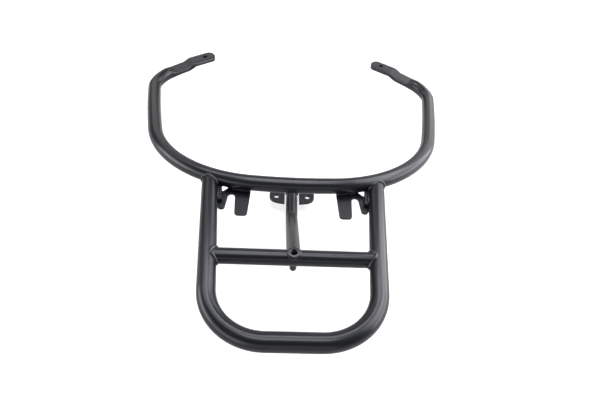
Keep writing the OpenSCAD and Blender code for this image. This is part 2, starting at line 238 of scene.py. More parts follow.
@dataclass(frozen=True)
class Bar:
    """A round bar, held as its centre line and its radius, in millimetres."""

    line: tuple[Vector, ...]
    radius: float

    def nearest(self, point: Vector) -> Vector:
        """Gives the point of the centre line that lies nearest to a point."""
        best, best_gap = self.line[0], 1e9
        for start, end in zip(self.line, self.line[1:]):
            run = end - start
            share = max(0.0, min(1.0, (point - start).dot(run) / run.length_squared))
            here = start + share * run
            gap = (point - here).length
            if gap < best_gap:
                best, best_gap = here, gap
        return best

    def gap(self, point: Vector) -> float:
        """Gives the distance from a point to the bar's surface, below zero inside it."""
        return (point - self.nearest(point)).length - self.radius

    def outward(self, point: Vector) -> Vector:
        """Gives the direction straight away from the bar at a point."""
        return (point - self.nearest(point)).normalized()


@dataclass(frozen=True)
class RackSizes:
    """The sizes of the rack that the pieces follow, in millimetres and degrees."""

    tube_r: float = 10.0
    cross_r: float = 9.0
    strut_r: float = 8.0
    boss_r: float = 7.0
    hoop_y: float = 109.0
    hoop_z: float = 4.5
    hoop_fall: float = 7.5
    bow_r: float = 680.0
    bow_a: float = 4.5
    corner_r: float = 165.0
    corner_a: float = 70.5
    side_l: float = 138.2
    side_a: float = 3.5
    front_r: float = 52.0
    front_a: float = 56.0
    front_roll: float = 13.0
    rail_half: float = 105.0
    rail_taper: float = 5.8
    strut_fall: float = 28.0
    strut_end: float = 157.0
    strut_depth: float = 60.0
    plate_top: float = -6.2

    def hoop_point(self, x: float) -> Vector:
        """Gives the point of the hoop's rear centre line at a distance x from the middle."""
        span = self.bow_r - self.corner_r
        cx = span * math.sin(math.radians(self.bow_a))
        cy = self.bow_r - span * math.cos(math.radians(self.bow_a))
        if abs(x) <= self.bow_r * math.sin(math.radians(self.bow_a)):
            run = self.bow_r - math.sqrt(self.bow_r ** 2 - x ** 2)
        else:
            run = cy - math.sqrt(self.corner_r ** 2 - (abs(x) - cx) ** 2)
        fall = math.radians(self.hoop_fall)
        return Vector((x, self.hoop_y + run * math.cos(fall), self.hoop_z - run * math.sin(fall)))

    def hoop(self) -> Bar:
        """Gives the right rear part of the hoop as a bar."""
        return Bar(tuple(self.hoop_point(40.0 + i) for i in range(100)), self.tube_r)

    def rail_x(self, y: float) -> float:
        """Gives the distance of the rail's centre line from the middle at a distance y."""
        return self.rail_half - (self.hoop_y - y) * math.tan(math.radians(self.rail_taper))

    def rail(self) -> Bar:
        """Gives the right rail as a bar."""
        return Bar((Vector((self.rail_x(-40.0), -40.0, 0.0)),
                    Vector((self.rail_x(121.0), 121.0, 0.0))), self.tube_r)

    def cross(self) -> Bar:
        """Gives the cross tube as a bar."""
        reach = self.rail_x(0.0)
        return Bar((Vector((-reach, 0.0, 0.0)), Vector((reach, 0.0, 0.0))), self.cross_r)

    def strut(self) -> Bar:
        """Gives the strut's sloping run as a bar."""
        fall = math.radians(self.strut_fall)
        return Bar((Vector((0.0, 0.0, 0.0)),
                    Vector((0.0, 90.0 * math.cos(fall), -90.0 * math.sin(fall)))), self.strut_r)


def mirrored(points: list[Vector]) -> list[Vector]:
    """Gives the mirror image of points across the middle of the rack."""
    return [Vector((-p.x, p.y, p.z)) for p in points]


def skinned(rows: list[list[Vector]], closed: bool = False) -> bmesh.types.BMesh:
    """Joins rings of points into one closed skin.

    Args:
        rows: The rings, in millimetres, each with the same number of points.
        closed: Whether the last ring joins the first. Where it doesn't, both ends are capped.

    Returns:
        The new mesh, in metres.
    """
    mesh = bmesh.new()
    rings = [[mesh.verts.new(spot * MM) for spot in row] for row in rows]
    for low, high in zip(rings, rings[1:] + (rings[:1] if closed else [])):
        for j in range(len(low)):
            k = (j + 1) % len(low)
            mesh.faces.new((low[j], low[k], high[k], high[j]))
    if not closed:
        mesh.faces.new(list(reversed(rings[0])))
        mesh.faces.new(rings[-1])
    bmesh.ops.recalc_face_normals(mesh, faces=mesh.faces)
    return mesh


def placed(name: str, mesh: bmesh.types.BMesh) -> bpy.types.Object:
    """Makes an object of a finished mesh, which is used up, and links it to the scene."""
    data = bpy.data.meshes.new(name)
    mesh.to_mesh(data)
    mesh.free()
    piece = bpy.data.objects.new(name, data)
    bpy.context.scene.collection.objects.link(piece)
    return piece


def smoothed(piece: bpy.types.Object, sharp: float) -> None:
    """Shades a piece smooth, apart from the edges that turn by more degrees than sharp."""
    piece.data.shade_smooth()
    piece.data.set_sharp_from_angle(angle=math.radians(sharp))


def finished(name: str, mesh: bmesh.types.BMesh, material: bpy.types.Material,
             sharp: float) -> bpy.types.Object:
    """Makes a coated piece of a finished mesh that rides on the rack.

    Args:
        name: The piece's name.
        mesh: Its mesh, which is used up.
        material: Its material.
        sharp: The angle between two faces above which their edge stays sharp, in degrees.

    Returns:
        The new piece.
    """
    piece = placed(name, mesh)
    piece.data.materials.append(material)
    smoothed(piece, sharp)
    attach(piece, "root")
    return piece


def moved(x: float, y: float, z: float) -> Matrix:
    """Gives a plain move."""
    return Matrix.Translation((x, y, z))


def turned(degrees: float, axis: str) -> Matrix:
    """Gives a turn about one axis."""
    return Matrix.Rotation(math.radians(degrees), 4, axis)


def bent(start: Matrix, radius: float, degrees: float) -> Matrix:
    """Gives the place reached after a bend to the left in the place's own plane."""
    return start @ moved(-radius, 0, 0) @ turned(degrees, "Z") @ moved(radius, 0, 0)


def risen(start: Matrix, radius: float, degrees: float) -> Matrix:
    """Gives the place reached after a bend upward, or downward below zero."""
    lift = math.copysign(radius, degrees)
    return start @ moved(0, 0, lift) @ turned(degrees, "X") @ moved(0, 0, -lift)


@dataclass(frozen=True)
class Slice:
    """One slice across the hoop's tube, in millimetres: its place, way and rounded section."""

    place: Vector
    way: Vector
    width: float
    height: float
    edge: float

    def ring(self, corner_steps: int) -> list[Vector]:
        """Gives the slice's outline as points.

        Args:
            corner_steps: The number of steps in each of its four rounded corners.

        Returns:
            The points, in order around the tube, starting at the top's outer end.
        """
        side = self.way.cross(Vector((0, 0, 1))).normalized()
        up = side.cross(self.way)
        width, height = self.width - 2 * SKIN, self.height - 2 * SKIN
        edge = min(self.edge, height / 2 - 0.1, width / 2 - 0.1)
        flat, tall = width / 2 - edge, height / 2 - edge
        spots = []
        for corner, (sx, sz) in enumerate(((1, 1), (-1, 1), (-1, -1), (1, -1))):
            for i in range(corner_steps + 1):
                turn = math.radians(90 * corner + 90 * i / corner_steps)
                spots.append((sx * flat + edge * math.cos(turn), sz * tall + edge * math.sin(turn)))
            if corner in (0, 2):
                spots += [(sx * flat * share, sz * (tall + edge)) for share in (0.8, 0.0, -0.8)]
        return [self.place + x * side + z * up for x, z in spots]


@dataclass
class GrabHoop:
    """The grab hoop: one bent tube whose two ends are pressed flat, cranked and drilled.

    The sizes are in millimetres and degrees. The steps count each part's slices, and the
    margin keeps a straight run's slices off its ends.
    """

    sizes: RackSizes
    press_l: float = 14.0
    flat_w: float = 27.0
    flat_t: float = 8.0
    flat_turn: float = 10.5
    flat_drop: float = 1.65
    slope_l: float = 22.5
    joggle_a: float = 17.0
    joggle_l: float = 7.9
    joggle_r: float = 12.0
    tip_hole_l: float = 22.1
    tip_l: float = 41.1
    hole_r: float = 4.2
    hole_break: float = 0.6
    corner_steps: int = 12
    press_steps: int = 28
    joggle_steps: int = 8
    level_steps: int = 10
    tip_steps: int = 24
    tip_turn: float = 87.5
    tip_edge: float = 0.9
    tip_edge_fade: float = 48.0
    margin: float = 0.5
    drill_around: int = 48
    sharp: float = 32.0

    def round_at(self, place: Matrix) -> Slice:
        """Gives a slice of the round tube."""
        r = self.sizes.tube_r
        return Slice(place.translation.copy(), place.col[1].to_3d(), 2 * r, 2 * r, r)

    def flat_at(self, place: Matrix, width: float | None = None, height: float | None = None,
                edge: float | None = None) -> Slice:
        """Gives a slice of the flattened tube, narrowed or rounded where it is told."""
        return Slice(place.translation.copy(), place.col[1].to_3d(), width or self.flat_w,
                     height or self.flat_t, edge or self.flat_t / 2)

    def tube(self) -> tuple[list[Slice], Matrix]:
        """Follows the round tube from the rear centre to the end of the front bend.

        Returns:
            The slices, and the place that the tube has reached.
        """
        s = self.sizes
        place = moved(0, s.hoop_y, s.hoop_z) @ turned(-s.hoop_fall, "X") @ turned(-90, "Z")
        slices = []
        side_r = s.side_l / math.radians(s.side_a)
        for radius, angle, steps, roll in ((s.bow_r, s.bow_a, 14, 0.0),
                                           (s.corner_r, s.corner_a, 90, 0.0),
                                           (side_r, s.side_a, 30, s.front_roll),
                                           (s.front_r, s.front_a, 42, 0.0)):
            slices += [self.round_at(bent(place, radius, angle * i / steps)) for i in range(steps)]
            place = bent(place, radius, angle) @ turned(roll, "Y")
        return slices, place

    def crank_slices(self, start: Matrix, rise: float, steps: int) -> list[Slice]:
        """Gives the slices of one bend of the crank, up or down by a number of degrees."""
        return [self.flat_at(risen(start, self.joggle_r, rise * max(i, 0.01) / steps))
                for i in range(steps + 1)]

    def tip_place(self) -> tuple[list[Slice], Matrix]:
        """Follows the pressed length and the cranked flat to the level end.

        Returns:
            The slices, and the place where the level end starts.
        """
        start = self.tube()[1]
        way = start.col[1].to_3d()
        heading = math.degrees(math.atan2(way.y, way.x)) - 90
        rise = math.degrees(math.asin(way.z))
        end = start.translation + self.press_l * way
        flat = (Matrix.Translation(end) @ turned(heading + self.flat_turn, "Z")
                @ turned(rise, "X") @ moved(0, 0, -self.flat_drop))
        first, last = self.round_at(start), self.flat_at(flat)
        slices = []
        for i in range(self.press_steps + 1):
            share = i / self.press_steps
            slices.append(Slice(
                first.place.lerp(last.place, share), first.way.lerp(last.way, share).normalized(),
                first.width + share * (last.width - first.width),
                first.height + share * (last.height - first.height),
                first.edge + share * (last.edge - first.edge)))
        for run in (self.margin, 5.0, 10.0, 15.0, self.slope_l - self.margin):
            slices.append(self.flat_at(flat @ moved(0, run, 0)))
        crank = flat @ moved(0, self.slope_l, 0)
        slices += self.crank_slices(crank, self.joggle_a, self.joggle_steps)
        crank = risen(crank, self.joggle_r, self.joggle_a) @ moved(0, self.joggle_l, 0)
        fall = -self.joggle_a - rise
        slices += self.crank_slices(crank, fall, self.level_steps)
        return slices, risen(crank, self.joggle_r, fall)

    def slices(self) -> list[Slice]:
        """Gives every slice from the rear centre to the right tip."""
        pressed, level = self.tip_place()
        slices = self.tube()[0] + pressed
        radius = self.flat_w / 2
        straight = self.tip_l - radius
        for run in (self.margin, 6.0, 12.0, 18.0, straight - self.margin):
            slices.append(self.flat_at(level @ moved(0, run, 0)))
        # The round end's upper and lower edges are broken, and its sides square up towards it.
        tip_edge, full_edge = self.tip_edge, self.flat_t / 2
        for i in range(self.tip_steps + 1):
            turn = math.radians(self.tip_turn) * i / self.tip_steps
            left = radius * (1 - math.sin(turn))
            sink = tip_edge - math.sqrt(max(0.0, tip_edge ** 2 - max(0.0, tip_edge - left) ** 2))
            fade = max(0.0, 1 - turn / math.radians(self.tip_edge_fade))
            edge = tip_edge + (full_edge - tip_edge) * fade
            slices.append(self.flat_at(level @ moved(0, straight + radius * math.sin(turn), 0),
                                       2 * radius * math.cos(turn), self.flat_t - 2 * sink, edge))
        return slices

    def drill(self, piece: bpy.types.Object) -> None:
        """Drills both tips, with the small break that the drill leaves on each rim."""
        level = self.tip_place()[1]
        wide, half = self.hole_r + self.hole_break, self.flat_t / 2
        profile = ((wide + 1.0, -half - 1.0), (wide, -half),
                   (self.hole_r, -half + self.hole_break), (self.hole_r, half - self.hole_break),
                   (wide, half), (wide + 1.0, half + 1.0))
        turns = [math.tau * j / self.drill_around for j in range(self.drill_around)]
        for side in (1, -1):
            centre = (level @ moved(0, self.tip_hole_l, 0)).translation
            centre.x *= side
            cutter = placed("drill", skinned(
                [[centre + Vector((r * math.cos(a), r * math.sin(a), z)) for a in turns]
                 for r, z in profile]))
            cut = piece.modifiers.new("hole", "BOOLEAN")
            cut.operation, cut.solver, cut.object = "DIFFERENCE", "EXACT", cutter
            bpy.context.view_layer.update()
            whole = piece.evaluated_get(bpy.context.evaluated_depsgraph_get())
            drilled = bpy.data.meshes.new_from_object(whole)
            piece.modifiers.clear()
            piece.data = drilled
            bpy.data.objects.remove(cutter)

    def build(self, material: bpy.types.Material) -> None:
        """Builds the hoop in one smooth skin and coats it.

        Args:
            material: The powder coat over the tube.
        """
        right = [cut.ring(self.corner_steps) for cut in self.slices()]
        rings = [mirrored(ring) for ring in reversed(right[1:])] + right
        piece = placed("grab_hoop", skinned(rings))
        piece.data.materials.append(material)
        self.drill(piece)
        smoothed(piece, self.sharp)
        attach(piece, "root")
        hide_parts("seat_hoop")
        LOG.info("bent the grab hoop: %d slices, %d faces", len(rings), len(piece.data.polygons))


def march(start: Vector, way: Vector, reach: float, other: Bar) -> Vector:
    """Follows a line until it meets a bar.

    Args:
        start: Where the line starts.
        way: Its direction, of length one.
        reach: How far it may run.
        other: The bar that it should meet.

    Returns:
        The point on the bar's surface, or the line's end if it misses.
    """
    run, step = 0.0, 1.0
    while run < reach:
        if other.gap(start + (run + step) * way) < 0:
            low, high = run, run + step
            for _ in range(18):
                mid = (low + high) / 2
                low, high = (low, mid) if other.gap(start + mid * way) < 0 else (mid, high)
            return start + low * way
        run += step
    return start + reach * way


def meeting(bar: Bar, other: Bar, count: int) -> tuple[list[Vector], list[Vector]]:
    """Finds the curve on which the end of one bar meets another bar.

    Args:
        bar: The bar whose last point lies at the other bar.
        other: The bar that it ends on.
        count: The number of points around the curve.

    Returns:
        The points of the curve, and at each the direction out of the corner.
    """
    start, end = bar.line[0], bar.line[-1]
    way = (end - start).normalized()
    side = way.orthogonal().normalized()
    top = way.cross(side)
    reach = (end - start).length
    points, outs = [], []
    for i in range(count):
        turn = math.tau * i / count
        edge = math.cos(turn) * side + math.sin(turn) * top
        point = march(start + bar.radius * edge, way, reach, other)
        points.append(point)
        outs.append((edge + other.outward(point)).normalized())
    return points, outs


@dataclass
class WeldBead:
    """A rippled weld bead, laid along a line as a welder's torch leaves it.

    The sizes are in millimetres. The ripples are drawn 1.5 mm apart, which is about the
    real spacing of a bead of this width.
    """

    name: str
    node: str
    points: list[Vector]
    outs: list[Vector]
    radius: float
    closed: bool
    ripple_mm: float = 1.5
    ripple_depth: float = 0.09
    restart: float = 0.37
    lump_share: float = 0.2
    ripple_steps: int = 5
    around: int = 18

    def resampled(self, step: float) -> tuple[list[Vector], list[Vector]]:
        """Spaces the line's points evenly.

        Args:
            step: The distance between two points.

        Returns:
            The evenly spaced points and the directions out of the corner there.
        """
        points = self.points + ([self.points[0]] if self.closed else [])
        outs = self.outs + ([self.outs[0]] if self.closed else [])
        runs = [0.0]
        for a, b in zip(points, points[1:]):
            runs.append(runs[-1] + (b - a).length)
        count = max(8, round(runs[-1] / step))
        new_points, new_outs, k = [], [], 0
        for i in range(count if self.closed else count + 1):
            at = runs[-1] * i / count
            while k < len(runs) - 2 and runs[k + 1] < at:
                k += 1
            share = (at - runs[k]) / max(1e-9, runs[k + 1] - runs[k])
            new_points.append(points[k].lerp(points[k + 1], share))
            new_outs.append(outs[k].lerp(outs[k + 1], share).normalized())
        return new_points, new_outs

    def thickness(self, run: float, total: float, turn: float) -> float:
        """Gives the bead's radius at a run along it and a turn around it."""
        # Each ripple is a crescent, as the round edge of the weld pool left it.
        lag = 0.9 * self.radius * math.sin(turn) ** 2
        beat = ((run + lag) / self.ripple_mm) % 1.0
        ripple = 1.0 - self.ripple_depth * (1.0 - math.sin(math.pi * beat) ** 0.7)
        # The welder's hand lets the width wander slowly.
        wander = 1.0 + 0.07 * math.sin(run * 0.55 + 1.3) + 0.06 * math.sin(run * 0.23 + 0.4)
        # The torch stopped and started again part way along, which leaves a lump.
        lump = self.lump_share * math.exp(-((run - self.restart * total) / self.radius) ** 2)
        size = self.radius * ripple * (wander + lump)
        if not self.closed:
            near_end = min(run, total - run) / (1.4 * self.radius)
            size *= math.sqrt(max(0.02, 1.0 - max(0.0, 1.0 - near_end) ** 2))
        return size

    def build(self, material: bpy.types.Material) -> None:
        """Builds the bead's mesh and dresses it.

        Args:
            material: The powder coat over the weld.
        """
        step = self.ripple_mm / self.ripple_steps
        points, outs = self.resampled(step)
        count = len(points)
        total = step * (count if self.closed else count - 1)
        rings = []
        for i, point in enumerate(points):
            ahead = points[(i + 1) % count] if self.closed or i + 1 < count else point
            behind = points[i - 1] if self.closed or i > 0 else point
            way = (ahead - behind).normalized()
            out = (outs[i] - outs[i].dot(way) * way).normalized()
            side = way.cross(out)
            ring = []
            for j in range(self.around):
                turn = math.tau * j / self.around
                size = self.thickness(i * step, total, turn)
                ring.append(point + size * (math.cos(turn) * out + math.sin(turn) * side))
            rings.append(ring)
        piece = placed(self.name, skinned(rings, self.closed))
        piece.data.shade_smooth()
        piece.data.materials.append(material)
        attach(piece, "root")
        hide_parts(self.node)
        LOG.info("laid %s, %.0f mm long", self.name, total)


@dataclass
class CentreBoss:
    """The turned boss in the middle of the cross tube, with its tapped hole and round pin.

    The sizes are in millimetres. The thread is a coarse one for an 8 mm bolt.
    """

    sizes: RackSizes
    top: float = 10.4
    root: float = -6.0
    hole_floor: float = -5.6
    crest_r: float = 3.4
    groove_r: float = 4.0
    pitch: float = 1.25
    rim_break: float = 0.7
    pin_r: float = 4.0
    pin_tip: float = -22.0
    lead_in: float = 0.15
    groove_share: float = 0.42
    levels: int = 150
    around: int = 64
    sharp: float = 40.0

    def bore_r(self, z: float, turn: float) -> float:
        """Gives the tapped hole's radius at a height and a turn around it."""
        beat = (z / self.pitch - turn / math.tau) % 1.0
        depth = max(0.0, 1.0 - abs(beat - 0.5) / self.groove_share)
        radius = self.crest_r + (self.groove_r - self.crest_r) * depth
        lead = self.groove_r + self.lead_in - (self.top - z)
        return max(radius, lead)

    def rows(self) -> list[list[Vector]]:
        """Gives the rings of points from the hole's floor, over the rim and down to the pin."""
        turns = [math.tau * j / self.around for j in range(self.around)]
        rows = []
        for i in range(self.levels + 1):
            z = self.hole_floor + (self.top - self.hole_floor) * i / self.levels
            rows.append([Vector((self.bore_r(z, a) * math.cos(a),
                                 self.bore_r(z, a) * math.sin(a), z)) for a in turns])
        inset, shoulder = self.sizes.boss_r - self.rim_break, self.top - self.rim_break
        outer = [(inset, self.top)]
        for i in range(1, 7):
            turn = math.radians(90 - 15 * i)
            outer.append((inset + self.rim_break * math.cos(turn),
                          shoulder + self.rim_break * math.sin(turn)))
        outer += [(self.sizes.boss_r, self.root), (self.pin_r, self.root),
                  (self.pin_r, self.pin_tip + self.pin_r)]
        for i in range(1, 12):
            turn = math.radians(90 * i / 12)
            outer.append((self.pin_r * math.cos(turn),
                          self.pin_tip + self.pin_r - self.pin_r * math.sin(turn)))
        rows += [[Vector((r * math.cos(a), r * math.sin(a), z)) for a in turns] for r, z in outer]
        return rows

    def build(self, material: bpy.types.Material) -> None:
        """Turns and taps the boss, and coats it.

        Args:
            material: The powder coat over the boss.
        """
        piece = finished("tapped_boss", skinned(self.rows()), material, self.sharp)
        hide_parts("centre_boss")
        LOG.info("turned the boss, thread pitch %.2f mm", self.pitch)


@dataclass
class StrutTube:
    """The centre strut: one bent tube that falls from the cross tube and runs on level.

    The sizes are in millimetres.
    """

    sizes: RackSizes
    bend_r: float = 40.0
    hidden: float = 5.0
    wall: float = 2.0
    end_break: float = 0.6
    end_steps: int = 4
    bend_steps: int = 20
    around: int = 64
    sharp: float = 40.0

    def line(self) -> list[tuple[float, float, float]]:
        """Gives the centre line as its place along the rack, its height and its fall."""
        fall, depth = math.radians(self.sizes.strut_fall), self.sizes.strut_depth
        slope = depth / math.sin(fall) - self.bend_r * math.tan(fall / 2)
        places = [(s * math.cos(fall), -s * math.sin(fall), fall) for s in (self.hidden, slope / 2)]
        y = slope * math.cos(fall) + self.bend_r * math.sin(fall)
        z = -slope * math.sin(fall) + self.bend_r * math.cos(fall)
        for i in range(self.bend_steps + 1):
            left = fall * (1 - i / self.bend_steps)
            places.append((y - self.bend_r * math.sin(left),
                           z - self.bend_r * math.cos(left), left))
        return places

    def ring(self, place: tuple[float, float, float], radius: float) -> list[Vector]:
        """Gives one ring of points around the centre line.

        Args:
            place: The place along the rack, the height and the fall there.
            radius: The ring's radius.

        Returns:
            The ring's points.
        """
        y, z, fall = place
        spots = []
        for j in range(self.around):
            turn = math.tau * j / self.around
            up = radius * math.sin(turn)
            spots.append(Vector((radius * math.cos(turn), y + up * math.sin(fall),
                                 z + up * math.cos(fall))))
        return spots

    def build(self, material: bpy.types.Material) -> None:
        """Bends the tube and coats it.

        Args:
            material: The powder coat over the tube.
        """
        radius, end, z = self.sizes.strut_r - SKIN, self.sizes.strut_end, -self.sizes.strut_depth
        rows = [self.ring(place, radius) for place in self.line()]
        for i in range(self.end_steps + 1):
            turn = math.radians(90 * i / self.end_steps)
            rows.append(self.ring((end - self.end_break * (1 - math.sin(turn)), z, 0.0),
                                  radius - self.end_break * (1 - math.cos(turn))))
        # The open end shows a short way into the bore.
        bore = self.sizes.strut_r - self.wall
        rows += [self.ring((end, z, 0.0), bore), self.ring((end - 3 * bore, z, 0.0), bore)]
        piece = finished("bent_strut", skinned(rows), material, self.sharp)
        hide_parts("centre_strut")
        LOG.info("bent the strut, %d rings", len(rows))


@dataclass
class PlateWork:
    """The cut plates and square bars, with the soft edges that the coat leaves on them."""

    frame: dict
    edge_break: float = 0.45
    steps: int = 3
    weld_gap: float = 0.001
    flat_angle: float = 0.5
    edge_angle: float = 35.0
    sharp: float = 40.0

    def broken(self, node: str) -> bmesh.types.BMesh:
        """Copies one plate's mesh and rounds its sharp edges over.

        A left plate is made from its right twin, as its mirror image.

        Args:
            node: The plate's name among the solids.

        Returns:
            The new mesh.
        """
        mesh = bmesh.new()
        mesh.from_mesh(self.frame["nodes"][node.replace("left_", "right_")].data)
        if node.startswith("left_"):
            bmesh.ops.scale(mesh, vec=(-1, 1, 1), verts=mesh.verts)
        bmesh.ops.remove_doubles(mesh, verts=mesh.verts, dist=self.weld_gap * MM)
        bmesh.ops.dissolve_limit(mesh, angle_limit=math.radians(self.flat_angle),
                                 verts=mesh.verts, edges=mesh.edges)
        bmesh.ops.recalc_face_normals(mesh, faces=mesh.faces)
        edges = [e for e in mesh.edges if len(e.link_faces) == 2
                 and e.calc_face_angle(0.0) > math.radians(self.edge_angle)]
        bmesh.ops.bevel(mesh, geom=edges, offset=self.edge_break * MM, offset_type="OFFSET",
                        segments=self.steps, profile=0.5, affect="EDGES", clamp_overlap=False)
        bmesh.ops.recalc_face_normals(mesh, faces=mesh.faces)
        return mesh

    def soften(self, node: str, material: bpy.types.Material) -> None:
        """Puts a plate with broken edges in the place of one plain plate.

        Args:
            node: The plate's name among the solids.
            material: The powder coat over the plate.
        """
        piece = finished(f"soft_{node}", self.broken(node), material, self.sharp)
        flats = piece.modifiers.new("flat_faces", "WEIGHTED_NORMAL")
        flats.keep_sharp, flats.weight = True, 100
        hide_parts(node)
        LOG.info("softened %s by %.2f mm", node, self.edge_break)

    def run(self, material: bpy.types.Material) -> None:
        """Softens every plate and bar.

        Args:
            material: The powder coat over the plates.
        """
        for node in PLATE_NODES:
            self.soften(node, material)


@dataclass
class Welder:
    """Lays the rack's weld beads.

    The starts say where the short beads begin, and the rises and gaps keep their lines off
    the plate and the tubes, all in millimetres.
    """

    sizes: RackSizes
    foot_start: float = 55.0
    foot_rise: float = 1.0
    foot_gap: float = 0.8
    gusset_start: float = 87.0
    gusset_gap: float = 0.3
    gusset_top: float = 0.5

    def pair(self, stem: str, line: tuple[list[Vector], list[Vector]], radius: float,
             closed: bool, material: bpy.types.Material) -> None:
        """Lays one bead on the right and its mirror image on the left.

        Args:
            stem: The weld's name without its side.
            line: The points of the right bead and the directions out of the corner.
            radius: The bead's radius.
            closed: Whether the bead runs all the way round.
            material: The powder coat over the weld.
        """
        points, outs = line
        WeldBead(f"right_{stem}_bead", f"right_{stem}", points, outs, radius,
                 closed).build(material)
        WeldBead(f"left_{stem}_bead", f"left_{stem}", mirrored(points), mirrored(outs), radius,
                 closed).build(material)

    def boss_line(self) -> tuple[list[Vector], list[Vector]]:
        """Finds the line around the foot of the boss, on top of the cross tube."""
        points, outs = [], []
        boss, cross = self.sizes.boss_r, self.sizes.cross_r
        for i in range(72):
            turn = math.tau * i / 72
            x, y = boss * math.cos(turn), boss * math.sin(turn)
            z = math.sqrt(cross ** 2 - y ** 2)
            points.append(Vector((x, y, z)))
            outs.append(Vector((x / boss, y / boss + y / cross, z / cross)).normalized())
        return points, outs

    def lug_line(self) -> tuple[list[Vector], list[Vector]]:
        """Finds the line over the strut's end, where the lug plate meets it."""
        points, outs = [], []
        for i in range(25):
            turn = math.radians(-10 + 200 * i / 24)
            out = Vector((math.cos(turn), -0.5, math.sin(turn)))
            points.append(Vector((self.sizes.strut_r * math.cos(turn), self.sizes.strut_end,
                                  self.sizes.strut_r * math.sin(turn) - self.sizes.strut_depth)))
            outs.append(out.normalized())
        return points, outs

    def foot_line(self) -> tuple[list[Vector], list[Vector]]:
        """Finds the line under the rear of the hoop, along the bracket plate."""
        points, outs = [], []
        for i in range(25):
            centre = self.sizes.hoop_point(self.foot_start + i)
            high = self.sizes.plate_top + self.foot_rise
            reach = self.sizes.tube_r + self.foot_gap
            back = math.sqrt(reach ** 2 - (centre.z - high) ** 2)
            points.append(Vector((centre.x, centre.y - back, high)))
            outs.append(Vector((0.0, -0.8, 0.6)))
        return points, outs

    def gusset_line(self) -> tuple[list[Vector], list[Vector]]:
        """Finds the line on the square bar's top, along the rail."""
        points, outs = [], []
        for i in range(19):
            y = self.gusset_start + i
            points.append(Vector((self.sizes.rail_x(y) - self.sizes.tube_r - self.gusset_gap, y,
                                  self.gusset_top)))
            outs.append(Vector((-0.6, 0.0, 0.8)))
        return points, outs

    def run(self, material: bpy.types.Material) -> None:
        """Lays every bead.

        Args:
            material: The powder coat over the welds.
        """
        sizes = self.sizes
        rail, hoop, cross, strut = sizes.rail(), sizes.hoop(), sizes.cross(), sizes.strut()
        half_cross = Bar((Vector((30.0, 0.0, 0.0)), cross.line[1]), sizes.cross_r)
        rising = Bar((strut.line[1], strut.line[0]), sizes.strut_r)
        self.pair("hoop_weld", meeting(rail, hoop, 96), 2.1, True, material)
        self.pair("cross_weld", meeting(half_cross, rail, 84), 2.3, True, material)
        points, outs = meeting(rising, cross, 80)
        WeldBead("strut_weld_bead", "strut_weld", points, outs, 2.1, True).build(material)
        points, outs = self.boss_line()
        WeldBead("boss_weld_bead", "boss_weld", points, outs, 1.25, True,
                 ripple_mm=1.2).build(material)
        points, outs = self.lug_line()
        WeldBead("lug_weld_bead", "lug_weld", points, outs, 1.4, False,
                 ripple_mm=1.2).build(material)
        self.pair("foot_weld", self.foot_line(), 2.0, False, material)
        self.pair("gusset_weld", self.gusset_line(), 1.7, False, material)


def seen_share(tree: bpy.types.NodeTree, path: bpy.types.Node,
               gloss_share: float) -> bpy.types.NodeSocket:
    """Gives how much of the white background a ray shows: all, part or none.

    Args:
        tree: The material's or world's node tree.
        path: Its light path node.
        gloss_share: How much of the background a ray off a glossy surface shows. It is low, so
            that the black coat keeps its dark sides.

    Returns:
        The socket that carries the share, from 0 to 1.
    """
    gloss = add_node(tree, "ShaderNodeMath", {"operation": "MULTIPLY", "in:1": gloss_share},
                     {"0": path.outputs["Is Glossy Ray"]})
    clear = add_node(tree, "ShaderNodeMath", {"operation": "MAXIMUM"},
                     {"0": path.outputs["Is Camera Ray"], "1": path.outputs["Is Transmission Ray"]})
    return add_node(tree, "ShaderNodeMath", {"operation": "MAXIMUM"},
                    {"0": clear.outputs["Value"], "1": gloss.outputs["Value"]}).outputs["Value"]


